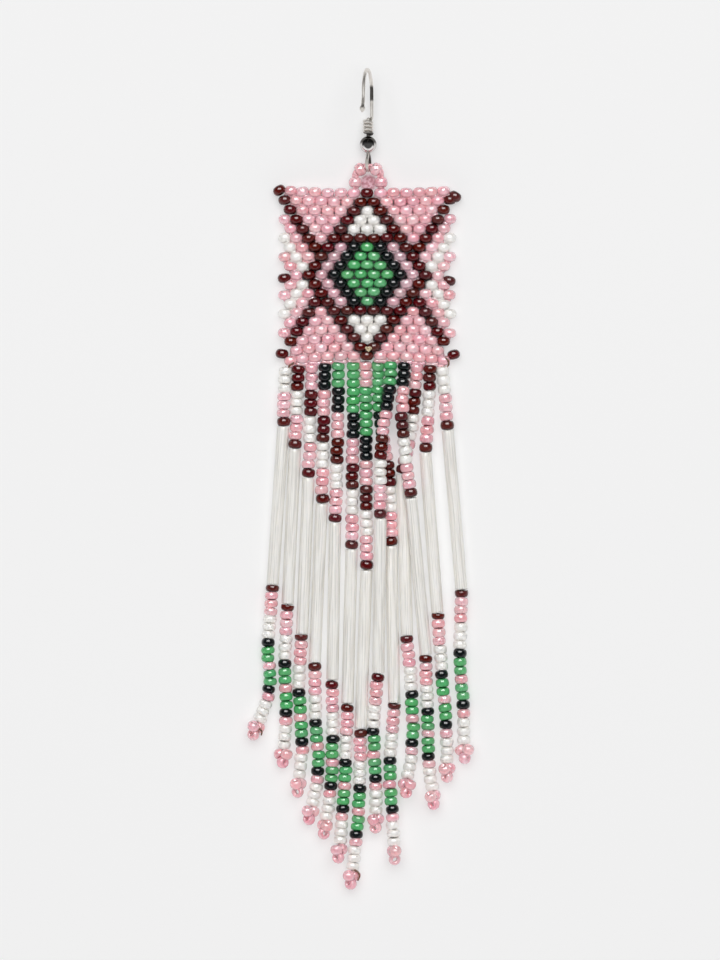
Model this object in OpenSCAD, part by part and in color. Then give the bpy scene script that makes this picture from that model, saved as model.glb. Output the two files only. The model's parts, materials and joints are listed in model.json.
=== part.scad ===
// Beaded drop earring, lying face up with its fringe spread on the surface.
// X runs to the right and Y towards the ear wire. The surface is Z = 0, under the middle of the
// whole earring. Lengths are in millimetres.

/* [Beads] */
// Diameter of a seed bead
bead_d = 2.3; // [2.2:0.05:2.3]
// Length of a seed bead along its hole
bead_len = 1.65; // [1.5:0.05:1.7]
// Diameter of the hole through a neck bead
bead_hole = 0.8; // [0.6:0.1:1]

/* [Panel] */
// Distance from one row of the panel to the next
row_pitch = 1.69; // [1.6:0.01:1.7]
// Distance between neighbouring beads at the middle of a row
column_pitch = 2.48; // [2.4:0.02:2.5]
// How much the middle of the panel stands higher than its sides
panel_rise = 1; // [0.4:0.1:1.2]

/* [Bugles] */
// Diameter of a bugle
bugle_d = 2.3; // [2:0.05:2.3]
// Diameter of the hole through a bugle
bugle_hole = 1; // [0.6:0.1:1.2]

/* [Ear wire] */
// Diameter of the wire
wire_d = 0.66; // [0.6:0.02:0.7]
// Radius of the bend that goes through the ear
bend_r = 4.25; // [3.6:0.05:4.5]
// Radius of the eye, to the middle of the wire
eye_r = 1.45; // [1.4:0.05:1.5]
// Turns in the coil
coil_turns = 5; // [3:1:5]
// Diameter of the ball
ball_d = 3.2; // [3:0.1:3.4]
// Lean of the ear wire to the left, in degrees
wire_lean = 10.5; // [6:0.5:12]

/* [Hidden] */
STRANDS = [1 : 13];
function two_digits(n) = n < 10 ? str("0", n) : str(n);

$fn = 40;
gap = 0.06;
bead_r = bead_d / 2;
bead_round = 0.45;

// The middle of the panel, measured from the middle of the whole earring
panel_x = 1.33;
panel_y = 38.5;

// Rows are counted from the panel's middle, downwards, and columns to the right
half_rows = 9;
row_overlap = 0.12;
row_h = row_pitch + row_overlap;

// The 2 top corners, the 2 ends of the middle row and the 2 low corners stand out from the rows:
// [row, column, further out, further down, turn]
EDGE_BEADS = [
  [-9, -7, -0.1, 0.1, 28], [-9, 7, 0, 1.2, -32],
  [0, -6.5, 0.1, 0.5, 6], [0, 6.5, 0, 0.9, -12],
  [8, -6.5, 0.5, 0.3, -8], [8, 6.5, 0.7, 0.4, 20]
];

// Way of each strand over the surface, from the panel's middle: [across, up, height of its centre].
// It starts under the panel at the first number of its row.
low = bead_r;
TOPS = [
  [-15.3, [[-15.7, -28.4, low]]],
  [-12.8, [[-13.2, -25, low], [-13.5, -32.6, low]]],
  [-10.3, [[-10.6, -25, low], [-11, -38, low]]],
  [-7.9, [[-8.1, -25, low], [-8.5, -42.8, low]]],
  [-5.3, [[-5.4, -25, low], [-6, -46.4, low]]],
  [-2.6, [[-2.6, -25, low], [-2.9, -51.4, low]]],
  [-0.25, [[-0.2, -25, low], [-0.1, -55.2, low]]],
  [2.1, [[2.1, -20, low], [2.3, -26.3, low], [4, -36.7, low], [4.5, -50.8, low]]],
  [4.5, [[4.35, -20.5, 3], [3.6, -25.6, 3.6], [2.5, -34.6, 3.7], [2.5, -45.6, 3.4]]],
  [6.95, [[6.7, -22, 3], [6.5, -26, 3.5], [7.1, -33.2, 3.7], [8.2, -41.7, 3.3]]],
  [9.35, [[8.7, -24.9, low], [8.1, -29.8, low], [6.5, -37.3, low]]],
  [11.75, [[11.5, -25, low], [10.9, -33.3, low]]],
  [14.1, [[15.1, -29.1, low]]]
];
TAILS = [
  [[-17.7, -58.2, low], [-18.5, -69.6, low], [-18.5, -78.4, low], [-21.7, -87.3, low]],
  [[-14.9, -61.9, low], [-15.4, -73.3, low], [-15.2, -82.5, low], [-15.9, -92.6, low]],
  [[-12.2, -67.5, low], [-12.8, -77.8, low], [-12.2, -87.2, low], [-13.1, -98.1, low]],
  [[-9.8, -72.7, low], [-9.6, -84.3, low], [-9.2, -93.2, low], [-11.1, -103.2, low]],
  [[-6.5, -76.1, low], [-6.5, -87.1, low], [-6.8, -96, low], [-8.3, -105.9, low]],
  [[-3.7, -80.5, low], [-4, -91.4, low], [-4.5, -99.9, low], [-5.5, -110.3, 2.9]],
  [[-1.2, -85.2, low], [-1.4, -96, low], [-2, -104.8, low], [-3.2, -115.3, low]],
  [[5.1, -80.4, low], [4.3, -91.6, low], [4.7, -101, 2], [5.2, -110.7, 1.6]],
  [[2.1, -74.7, 2.1], [1.2, -85, 1.4], [1.6, -94.3, low], [1.6, -104.8, low]],
  [[11, -71.3, low], [11.3, -82.3, low], [11.5, -90.9, low], [12.6, -100.4, low]],
  [[7.5, -67.7, low], [8.4, -79.4, low], [8.4, -88.1, low], [7.1, -98.1, 3]],
  [[13.2, -63.5, low], [14, -75.2, low], [14.8, -84.4, low], [15, -95.3, low]],
  [[17.7, -59.2, low], [17.4, -71.7, low], [18, -80.5, low], [18.3, -91.8, low]]
];
strand_drop = 0.4;
ring_gap = 5;

// The 3 beads at a tip: [distance back from the end, share of a bead's width]
picot_w = 3.7;
PICOT = [[3.9, 1], [3.2, picot_w / bead_d], [2, picot_w / bead_d], [1.2, 1], [0, 0.6]];
picot_lead = 1.5;

// Ear wire, along its own coil: distances up from the middle of the eye
wire_r = wire_d / 2;
wire_x = 0.2;
eye_y = 20.9;
wire_z = eye_r + wire_r;
ball_hole = wire_d + 2 * gap;
ball_up = eye_r + wire_r + ball_d / 2;
coil_up = ball_up + sqrt(ball_d * ball_d - ball_hole * ball_hole) / 2 + gap;
coil_r = 0.67;
coil_top = coil_up + coil_turns * wire_d;
bend_up = 12.9;
tail_drop = 0.4;
tail_bend_r = 3;
tail_bend = 25;
tail_tip = 1.8;
tip_ball_r = 0.55;

// Neck: 2 upright beads and 2 sloping ones that hold the eye between them
thread_r = 0.18;
slope = 30;
slope_bead = [1.5, 19.65];
neck_z = 1.9;
side_bead = [2.4, 17.2, 2];
side_low = [2.4, 16.25, 2.1];
side_high = [2.4, 18.15, 1.95];
thread_out = 0.08;

function column_x(k) = column_pitch * k - 0.0024 * pow(k, 3);
function droop(r, x) = (0.31 + 0.1 * r) * pow(x / 16.5, 2);
function rise(x) = panel_rise * max(0, 1 - pow(x / 15.5, 2));
function row_count(r) = 13 + (r % 2 == 0 ? 1 : 0);
function is_edge(r, k) = len([for (e = EDGE_BEADS) if (e[0] == r && e[1] == k) 1]) > 0;

// A smooth curve through the points p, at position t counted in points
function smooth(p, t) =
  let (last = len(p) - 1, i = min(floor(t), last - 1), u = t - i,
       a = i > 0 ? p[i - 1] : 2 * p[0] - p[1], b = p[i], c = p[i + 1],
       d = i + 2 <= last ? p[i + 2] : 2 * p[last] - p[last - 1])
  (2 * b + (c - a) * u + (2 * a - 5 * b + 4 * c - d) * u * u
   + (3 * b - a - 3 * c + d) * u * u * u) / 2;

function above_floor(q) = [q[0], q[1], max(q[2], low)];
function steps(a, b) = max(1, round(norm(b - a) / ring_gap));
function ring_places(p) = concat(
  [for (i = [0 : len(p) - 2]) let (n = steps(p[i], p[i + 1])) for (j = [0 : n - 1]) i + j / n],
  [len(p) - 1]
);
function route(p) = [for (t = ring_places(p)) above_floor(smooth(p, t))];
function unit(v) = v / norm(v);

// Which way a tube runs at its ring i, where its first and last rings face along the pair ends
function heading(c, i, ends) =
  i == 0 ? ends[0] : i == len(c) - 1 ? ends[1] : unit(c[i + 1] - c[i - 1]);

// One ring of a tube: 8 points round c, whose flat sides face up, down and sideways
function ring(c, ahead, half_w, half_h) =
  let (side = unit([-ahead[1], ahead[0], 0]), up = cross(ahead, side), grow = 1 / cos(22.5))
  [for (j = [0 : 7]) let (a = 22.5 + 45 * j)
    c - side * half_w * grow * cos(a) + up * half_h * grow * sin(a)];

// A closed tube along the centres c, with the half widths w and the half height half_h
module tube(c, w, half_h, ends) {
  n = len(c);
  points = [for (i = [0 : n - 1]) each ring(c[i], heading(c, i, ends), w[i], half_h)];
  walls = [for (i = [0 : n - 2], j = [0 : 7])
    [i * 8 + j, i * 8 + (j + 1) % 8, (i + 1) * 8 + (j + 1) % 8, (i + 1) * 8 + j]];
  first_end = [[for (j = [7 : -1 : 0]) j]];
  last_end = [[for (j = [0 : 7]) (n - 1) * 8 + j]];
  polyhedron(points, concat(walls, first_end, last_end), convexity = 6);
}

function top_start(x) = [x, -half_rows * row_pitch - row_h / 2 - droop(half_rows, x) - strand_drop,
                         bead_r + rise(x)];
function top_points(i) = concat([top_start(TOPS[i - 1][0])], TOPS[i - 1][1]);
function bugle_start(i) = let (p = top_points(i)) p[len(p) - 1];
function bugle_end(i) = TAILS[i - 1][0];
function bugle_way(i) = unit(bugle_end(i) - bugle_start(i));

module on_panel() {
  translate([panel_x, panel_y, 0]) children();
}

module panel_bead(x, y, z, turn) {
  translate([x, y, z]) rotate([90, 0, turn]) cylinder(d = bead_d, h = row_h, center = true);
}

module bead_panel() {
  color("pink") on_panel() {
    for (r = [-half_rows : half_rows], i = [0 : row_count(r) - 1]) {
      k = i - (row_count(r) - 1) / 2;
      x = column_x(k);
      if (!is_edge(r, k))
        panel_bead(x, -r * row_pitch - droop(r, x), bead_r + rise(x), 0);
    }
    for (e = EDGE_BEADS) {
      x = column_x(e[1]) + sign(e[1]) * e[2];
      panel_bead(x, -e[0] * row_pitch - droop(e[0], x) - e[3], bead_r + rise(x), e[4]);
    }
  }
}

module strand_top(i) {
  c = route(top_points(i));
  color("pink") on_panel() tube(c, [for (q = c) bead_r], bead_r, [[0, -1, 0], bugle_way(i)]);
}

module bugle(i) {
  v = bugle_way(i);
  length = norm(bugle_end(i) - bugle_start(i)) - 2 * gap;
  color("ivory") on_panel() translate(bugle_start(i) + v * gap)
    rotate([0, acos(v[2]), atan2(v[1], v[0])])
      difference() {
        cylinder(d = bugle_d, h = length);
        translate([0, 0, -1]) cylinder(d = bugle_hole, h = length + 2);
      }
}

function tail_way(p) = let (last = len(p) - 1) unit(p[last] - p[last - 1]);

module strand_tail(i) {
  p = TAILS[i - 1];
  end = p[len(p) - 1];
  plain = [for (q = route(p)) if (norm(q - end) > PICOT[0][0] + picot_lead) q];
  tip = [for (t = PICOT) above_floor(end - tail_way(p) * t[0])];
  w = concat([for (q = plain) bead_r], [for (t = PICOT) bead_r * t[1]]);
  color("pink") on_panel() tube(concat(plain, tip), w, bead_r, [bugle_way(i), tail_way(p)]);
}

function leaning(p) = [p[0] * cos(wire_lean) - p[2] * sin(wire_lean), p[1],
                       p[0] * sin(wire_lean) + p[2] * cos(wire_lean)];
function sloping(side, along) = [wire_x, slope_bead[1] - along * sin(slope), neck_z]
  + leaning([side * (slope_bead[0] + along * cos(slope)), 0, 0]);
function mirrored(p, side) = [wire_x + side * p[0], p[1], p[2]];
bead_out = bead_len / 2 + thread_out;
NECK_WAY = [
  mirrored(side_low, -1), mirrored(side_high, -1), sloping(-1, bead_out), sloping(-1, -bead_out),
  sloping(1, -bead_out), sloping(1, bead_out), mirrored(side_high, 1), mirrored(side_low, 1)
];

module neck_thread() {
  last = len(NECK_WAY) - 1;
  ends = [unit(NECK_WAY[1] - NECK_WAY[0]), unit(NECK_WAY[last] - NECK_WAY[last - 1])];
  color("tan") on_panel() tube(NECK_WAY, [for (q = NECK_WAY) thread_r], thread_r, ends);
}

// A bead whose hole runs along Z, with rounded ends
module drilled_bead() {
  rotate_extrude() {
    translate([bead_hole / 2, -bead_len / 2])
      square([bead_r - bead_round - bead_hole / 2, bead_len]);
    translate([bead_hole / 2, -bead_len / 2 + bead_round])
      square([bead_r - bead_hole / 2, bead_len - 2 * bead_round]);
    for (s = [-1, 1])
      translate([bead_r - bead_round, s * (bead_len / 2 - bead_round)]) circle(bead_round);
  }
}

module bead_between(a, b, middle) {
  v = unit(b - a);
  color("pink") on_panel() translate(middle)
    rotate([0, acos(v[2]), atan2(v[1], v[0])]) drilled_bead();
}

module neck_bead(i) {
  if (i == 1) bead_between(NECK_WAY[0], NECK_WAY[1], mirrored(side_bead, -1));
  if (i == 2) bead_between(NECK_WAY[2], NECK_WAY[3], sloping(-1, 0));
  if (i == 3) bead_between(NECK_WAY[4], NECK_WAY[5], sloping(1, 0));
  if (i == 4) bead_between(NECK_WAY[6], NECK_WAY[7], mirrored(side_bead, 1));
}

// The ear wire's own frame: Y up its coil, Z across its bend, leaning to the left
module on_wire() {
  on_panel() translate([wire_x, eye_y, wire_z]) rotate([0, -wire_lean, 0]) children();
}

// Part of a ring of wire in the ear wire's plane, over turn degrees from its lowest point
module bent_wire(r, turn) {
  rotate([0, 90, 0]) rotate_extrude(angle = turn) translate([r, 0]) circle(wire_r);
}

module along_y(from, to, r) {
  translate([0, from, 0]) rotate([-90, 0, 0]) cylinder(r = r, h = to - from);
}

module coil() {
  translate([0, coil_up, 0]) rotate([-90, 0, 0]) rotate_extrude() {
    square([coil_r, coil_turns * wire_d]);
    for (i = [0 : coil_turns - 1]) translate([coil_r, (i + 0.5) * wire_d]) circle(wire_r + 0.01);
  }
}

module ear_wire() {
  color("silver") on_wire() {
    bent_wire(eye_r, 360);
    along_y(eye_r, coil_up + wire_r, wire_r);
    coil();
    translate([coil_r, 0, 0]) {
      along_y(coil_top - wire_r, bend_up, wire_r);
      translate([0, bend_up, bend_r]) bent_wire(bend_r, 180);
      translate([0, 0, 2 * bend_r]) along_y(bend_up - tail_drop, bend_up, wire_r);
      translate([0, bend_up - tail_drop, 2 * bend_r + tail_bend_r]) rotate([-tail_bend, 0, 0]) {
        bent_wire(tail_bend_r, tail_bend);
        translate([0, 0, -tail_bend_r]) rotate([90, 0, 0]) {
          cylinder(r = wire_r, h = tail_tip);
          translate([0, 0, tail_tip]) sphere(tip_ball_r);
        }
      }
    }
  }
}

module hook_ball() {
  color("silver") on_wire() translate([0, ball_up, 0]) difference() {
    sphere(d = ball_d);
    rotate([90, 0, 0]) cylinder(d = ball_hole, h = ball_d + 1, center = true);
  }
}

ear_wire();
hook_ball();
neck_thread();
bead_panel();
for (i = [1 : 4]) neck_bead(i);
for (i = STRANDS) strand_top(i);
for (i = STRANDS) bugle(i);
for (i = STRANDS) strand_tail(i);
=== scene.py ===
"""Beaded drop earring lying face up on a pale table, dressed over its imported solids.

Shapes are worked out in millimetres and become metres as a mesh is made. X runs to the right, Y towards
the ear wire and Z up from the table. Lengths that the solids also use carry the same values.
"""
from __future__ import annotations

import json
import logging
from dataclasses import dataclass, field
from enum import Enum
from typing import Any, Optional, Sequence

import bpy
import numpy as np
from numpy.typing import NDArray
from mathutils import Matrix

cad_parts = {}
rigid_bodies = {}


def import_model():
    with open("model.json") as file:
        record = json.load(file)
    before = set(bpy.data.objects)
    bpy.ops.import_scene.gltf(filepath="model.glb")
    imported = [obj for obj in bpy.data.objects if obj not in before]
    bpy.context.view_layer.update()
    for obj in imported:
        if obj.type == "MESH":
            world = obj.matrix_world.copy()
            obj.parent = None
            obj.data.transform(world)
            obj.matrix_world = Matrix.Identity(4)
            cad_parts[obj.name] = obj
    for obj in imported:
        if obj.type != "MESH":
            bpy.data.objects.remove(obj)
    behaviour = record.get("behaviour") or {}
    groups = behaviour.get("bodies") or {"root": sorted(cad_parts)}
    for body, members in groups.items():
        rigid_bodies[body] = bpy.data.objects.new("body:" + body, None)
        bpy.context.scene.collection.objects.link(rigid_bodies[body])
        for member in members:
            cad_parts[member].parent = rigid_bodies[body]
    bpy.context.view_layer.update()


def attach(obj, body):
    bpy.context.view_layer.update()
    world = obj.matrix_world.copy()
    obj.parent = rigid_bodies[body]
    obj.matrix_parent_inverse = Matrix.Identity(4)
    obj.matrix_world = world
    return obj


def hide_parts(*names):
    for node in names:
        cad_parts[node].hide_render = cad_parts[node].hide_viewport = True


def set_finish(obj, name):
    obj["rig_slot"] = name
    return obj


Floats = NDArray[np.float64]
Ints = NDArray[np.int64]
Socket = bpy.types.NodeSocket
Outputs = bpy.types.NodeOutputs
Inputs = dict[Any, Any]
Random = np.random.Generator
Colour = tuple[float, float, float]
Point = tuple[float, ...]
LOG = logging.getLogger("earring")

MM = 0.001
BEAD_R = 1.15
PANEL_MIDDLE = np.array([1.33, 38.5, 0.0])
RIGHT = np.array([1.0, 0.0, 0.0])
UP = np.array([0.0, 0.0, 1.0])
GLASS_SLOTS = ("seed_beads", "bugle_glass", "thread")


class Shade(Enum):
    """Colours of the seed beads, with the letter that stands for each in a chart."""

    PINK = "P"
    MAROON = "M"
    WHITE = "W"
    BLACK = "B"
    GREEN = "G"
    MAUVE = "V"


SHADES = list(Shade)
THREAD_SLOT = len(SHADES)


def shades_of(letters: str) -> Ints:
    """Turns the letters of a chart, with spaces allowed, into places in SHADES."""
    order = "".join(s.value for s in SHADES)
    return np.array([order.index(c) for c in letters if c != " "], dtype=np.int64)


def unit(v: Floats) -> Floats:
    """Returns the vectors v, along the last axis, at length 1."""
    return v / np.linalg.norm(v, axis=-1, keepdims=True)


def stacked(*parts: Any) -> Floats:
    """Stretches the parts to one shape and joins them along a new last axis."""
    return np.stack(np.broadcast_arrays(*parts), -1)


def circle(steps: int) -> Floats:
    """Returns so many angles, spread evenly round a circle."""
    return np.linspace(0, 2 * np.pi, steps, endpoint=False)


def spokes(a: Floats, side: Floats, top: Floats) -> Floats:
    """Returns the directions cos a S + sin a U for every angle a, from sides S and tops U."""
    return np.cos(a)[..., None] * side[..., None, :] + np.sin(a)[..., None] * top[..., None, :]


def on_table(points: Sequence[Point]) -> Floats:
    """Makes points into rows of three, where one without a height lies a bead's radius up."""
    return np.array([(*p, BEAD_R)[:3] for p in points], float)


def smooth_curve(points: Any, each: int = 40) -> Floats:
    """A smooth curve through given points.

    Between points b and c, with neighbours a and d, it is
    (2b + (c-a)u + (2a-5b+4c-d)u^2 + (3b-a-3c+d)u^3) / 2 for u from 0 to 1, and past either end
    the neighbour is the end's own mirror image.

    Args:
        points: the points, in order.
        each: steps from one point to the next.

    Returns:
        The curve's points, one row each.
    """
    p = np.asarray(points, float)
    p = np.vstack([2 * p[0] - p[1], p, 2 * p[-1] - p[-2]])
    u = (np.arange(each) / each)[None, :, None]
    a, b, c, d = (p[k : len(p) - 3 + k, None, :] for k in range(4))
    spans = 2 * b + (c - a) * u + (2 * a - 5 * b + 4 * c - d) * u**2 + (3 * b - a - 3 * c + d) * u**3
    return np.vstack([(spans / 2).reshape(-1, 3), p[-2]])


def bridge(start: Floats, start_way: Floats, end: Floats, end_way: Floats, steps: int) -> Floats:
    """A curve that leaves one point and meets another with given slopes, by cubic blending.

    Args:
        start: the first point.
        start_way: its slope, whose length says how far it carries on.
        end: the last point.
        end_way: the slope there.
        steps: how many steps it has.

    Returns:
        The points between the two, with both ends left out.
    """
    t = np.linspace(0, 1, steps + 1)[1:-1, None]
    return (
        (2 * t**3 - 3 * t**2 + 1) * start
        + (t**3 - 2 * t**2 + t) * start_way
        + (3 * t**2 - 2 * t**3) * end
        + (t**3 - t**2) * end_way
    )


def tilted(holes: Floats, degrees: float, rng: Random) -> Floats:
    """Tips unit vectors at random, each part of them by about the tangent of the given angle."""
    return unit(holes + rng.normal(0, np.tan(np.radians(degrees)), holes.shape))


@dataclass
class Way:
    """A route that can be walked by its length."""

    points: Floats
    look: float = 0.6

    def __post_init__(self) -> None:
        """Works out how far along each point lies."""
        steps = np.linalg.norm(np.diff(self.points, axis=0), axis=1)
        self.reach: Floats = np.concatenate([[0.0], np.cumsum(steps)])

    @property
    def length(self) -> float:
        """The route's whole length."""
        return float(self.reach[-1])

    def at(self, distance: Floats) -> Floats:
        """Returns the places at given distances from the route's start."""
        return np.stack([np.interp(distance, self.reach, self.points[:, k]) for k in range(3)], axis=-1)

    def heading(self, distance: Floats) -> Floats:
        """Returns the directions at given distances, each from a little behind to a little ahead."""
        ahead = np.minimum(distance + self.look, self.length)
        return unit(self.at(ahead) - self.at(np.maximum(distance - self.look, 0.0)))


@dataclass
class Skin:
    """A mesh that is being gathered from grids of points.

    Each part holds points, what the finish reads at them, a tint at them, faces and their slots.
    """

    parts: list[tuple[NDArray[Any], ...]] = field(default_factory=list)
    count: int = 0

    def add_grids(self, grids: Floats, around: Floats, tint: Floats, slots: Ints, closed: bool) -> None:
        """Adds grids of points that close on themselves around, and along too if asked.

        Args:
            grids: points as [grid, along, around, xyz].
            around: what the finish reads at each point, in the same shape.
            tint: a number from 0 to 1 for each grid.
            slots: the material slot of each grid.
            closed: True where the last row joins the first, so that the grid is a ring.
        """
        number, rows, sides = grids.shape[:3]
        at = np.arange(rows * sides).reshape(rows, sides)
        near = at if closed else at[:-1]
        far = np.roll(at, -1, 0) if closed else at[1:]
        quads = np.stack([near, np.roll(near, -1, 1), np.roll(far, -1, 1), far], -1).reshape(-1, 4)
        starts = self.count + np.arange(number)[:, None, None] * rows * sides
        faces = (starts + quads[None]).reshape(-1, 4)
        read = around.reshape(-1, 3), np.repeat(tint, rows * sides)
        self.parts.append((grids.reshape(-1, 3), *read, faces, np.repeat(slots, len(quads))))
        self.count += number * rows * sides

    def add_grid(self, grid: Floats, around: Floats, closed: bool, slot: int = 0, tint: float = 0.5) -> None:
        """Adds a single grid, in the way of add_grids."""
        self.add_grids(grid[None], around[None], np.array([tint]), np.array([slot]), closed)

    def make(self, name: str, materials: Sequence[bpy.types.Material], slot: str, *nodes: str) -> None:
        """Makes the gathered mesh into a piece at the origin that rides on the earring.

        Args:
            name: the piece's name.
            materials: what its faces' slot numbers stand for.
            slot: the record's material slot that it takes its finish from.
            nodes: the solids that it takes the place of.
        """
        points, around, tint, faces, slots = (np.concatenate(column) for column in zip(*self.parts))
        mesh = bpy.data.meshes.new(name)
        mesh.vertices.add(self.count)
        mesh.vertices.foreach_set("co", (points * MM).astype(np.float32).ravel())
        mesh.loops.add(faces.size)
        mesh.loops.foreach_set("vertex_index", faces.astype(np.int32).ravel())
        mesh.polygons.add(len(faces))
        mesh.polygons.foreach_set("loop_start", np.arange(0, faces.size, 4, dtype=np.int32))
        mesh.polygons.foreach_set("material_index", slots.astype(np.int32))
        mesh.polygons.foreach_set("use_smooth", np.ones(len(faces), dtype=bool))
        data = mesh.attributes.new("around", "FLOAT_VECTOR", "POINT").data
        data.foreach_set("vector", around.astype(np.float32).ravel())
        data = mesh.attributes.new("tint", "FLOAT", "POINT").data
        data.foreach_set("value", tint.astype(np.float32))
        mesh.update(calc_edges=True)
        mesh.validate()
        for material in materials:
            mesh.materials.append(material)
        piece = bpy.data.objects.new(name, mesh)
        bpy.context.scene.collection.objects.link(piece)
        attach(piece, "root")
        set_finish(piece, slot)
        if nodes:
            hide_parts(*nodes)
        LOG.info("%s: %d faces, stands for %s", name, len(faces), ", ".join(nodes) or "no solid")


def add_tube(skin: Skin, centres: Floats, radii: Any, side: Floats, sides: int, slot: int = 0) -> None:
    """Sweeps a round tube along a path, with a dome at each end that closes to a point's width.

    A point is c(s) + r(s) (cos a S(s) + sin a T(s) x S(s)), where T is the path's direction and S
    the side made square to it.

    Args:
        skin: the mesh that gets it.
        centres: the path, one row a ring.
        radii: the tube's radius, for all of it or at each ring.
        side: one direction for the whole path, or one a ring, never along the path.
        sides: how many points each ring has.
        slot: its material slot.
    """
    radii = np.broadcast_to(radii, len(centres))
    way = unit(np.gradient(centres, axis=0))
    side = np.broadcast_to(side, centres.shape)
    across = unit(side - np.sum(side * way, axis=1, keepdims=True) * way)
    dome = np.array([0.995, 0.9, 0.7, 0.38, 0.02])
    reach = np.sqrt(1 - dome**2)
    first = centres[0] - way[0] * radii[0] * reach[::-1, None]
    last = centres[-1] + way[-1] * radii[-1] * reach[:, None]
    c = np.vstack([first, centres, last])
    r = np.concatenate([radii[0] * dome[::-1], radii, radii[-1] * dome])
    ends = ((len(dome), len(dome)), (0, 0))
    a = circle(sides)
    ring = spokes(a, np.pad(across, ends, "edge"), np.pad(np.cross(way, across), ends, "edge"))
    around = stacked(np.cos(a)[None], np.sin(a)[None], Way(c).reach[:, None])
    skin.add_grid(c[:, None] + ring * r[:, None, None], around, False, slot)


@dataclass(frozen=True)
class BeadShape:
    """A seed bead: a short drop of glass tube, melted round at its ends.

    Its outline is r = 0.4 + 0.6 (cos f)^fullness, as a share of the radius, and y = sin f, as a
    share of the half length, for f from -90 to 90 degrees. The ends join through the hole.
    """

    sides: int = 12
    half_length: float = 0.825
    fullness: float = 1.0

    def add(
        self,
        skin: Skin,
        centres: Floats,
        holes: Floats,
        widths: Any,
        lengths: Any,
        shades: Ints,
        rng: Random,
        cuts: Any = -1.0,
    ) -> None:
        """Adds one bead at each place, as C + R r (cos a S + sin a U) + L y H for hole direction H.

        Args:
            skin: the mesh that gets them.
            centres: the beads' middles.
            holes: the way that the holes run, for all beads or each.
            widths: width as a share of the usual one, for all beads or each.
            lengths: length as a share of the usual one, for all beads or each.
            shades: each bead's colour number, which is also its slot.
            rng: the source of each bead's tint and turn.
            cuts: where the first end is cut flat, as a share of the half length.
        """
        number = len(centres)
        widths, lengths, cuts = (np.broadcast_to(v, number)[:, None] for v in (widths, lengths, cuts))
        holes = np.broadcast_to(holes, centres.shape)
        f = np.radians(np.linspace(-90, 90, 7))
        r = 0.4 + 0.6 * np.clip(np.cos(f), 0, 1) ** self.fullness
        y = np.maximum(np.sin(f), cuts)
        a = circle(self.sides)[None] + rng.uniform(0, 6, (number, 1))
        side = unit(np.cross(holes, UP))
        ring = spokes(a, side, np.cross(side, holes))[:, None]
        out = BEAD_R * widths * r
        along = (self.half_length * lengths * y)[:, :, None] * holes[:, None]
        grid = centres[:, None, None] + ring * out[:, :, None, None] + along[:, :, None]
        around = stacked(np.cos(a)[:, None], np.sin(a)[:, None], y[:, :, None])
        skin.add_grids(grid, around, rng.uniform(0, 1, number), shades, closed=True)


def srgb(red: float, green: float, blue: float) -> tuple[float, float, float, float]:
    """Turns a colour given as 0 to 255 on a screen into the light that it stands for."""
    c = np.array([red, green, blue]) / 255
    linear = np.where(c <= 0.04045, c / 12.92, ((c + 0.055) / 1.055) ** 2.4)
    return (float(linear[0]), float(linear[1]), float(linear[2]), 1.0)


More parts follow.
